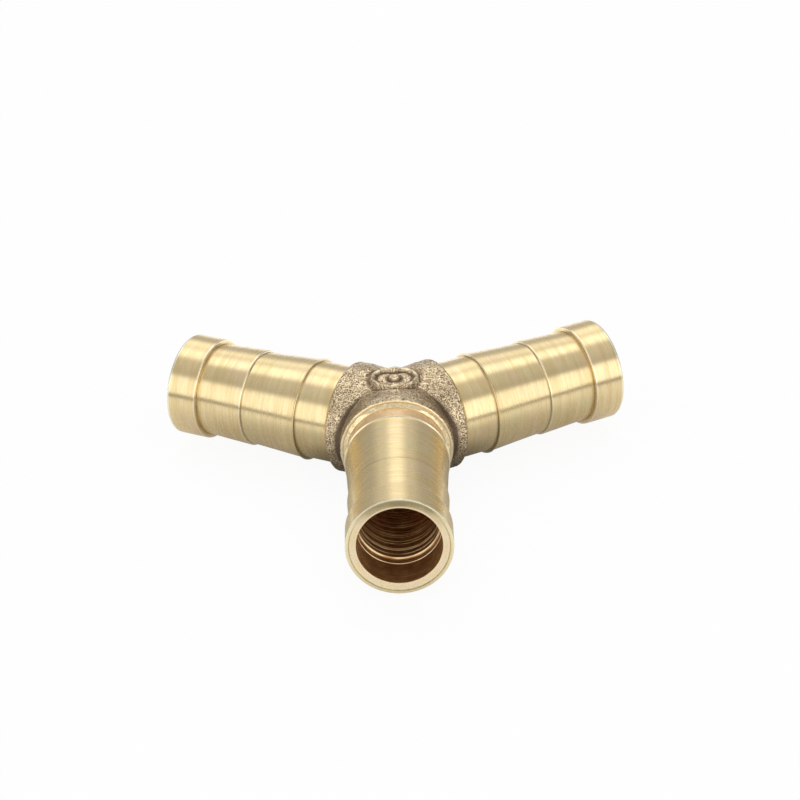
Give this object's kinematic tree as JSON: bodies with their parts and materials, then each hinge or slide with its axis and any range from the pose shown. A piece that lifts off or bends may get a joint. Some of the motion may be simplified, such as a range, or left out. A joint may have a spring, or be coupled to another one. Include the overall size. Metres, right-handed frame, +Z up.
{
  "type": "barbed hose wye connector",
  "caption": "Brass Y-shaped hose-barb connector that joins hoses end to end and splits the flow between them, with a rough cast hub and turned barbed tails.",
  "frame": {"origin": "the point where the axes of the legs meet, at the centre of the hub", "axes": "+Z up through the cast mark, square to the plane of the legs; the front leg points along -Y, and the other two leave at 117 degrees to it on the -X and +X sides"},
  "size_m": [0.0726, 0.0605, 0.0177],
  "materials": {
    "cast_brass": "rough sand-cast skin, brown with bright grains",
    "turned_brass": "turned and brushed round the axis, satin",
    "braze": "bright, slightly pitted filler"
  },
  "bodies": {
    "root": {"hub_casting": "cast_brass", "hose_tail_front": "turned_brass", "hose_tail_left": "turned_brass", "hose_tail_right": "turned_brass", "braze_ring_front": "braze", "braze_ring_left": "braze", "braze_ring_right": "braze"}
  },
  "joints": []
}
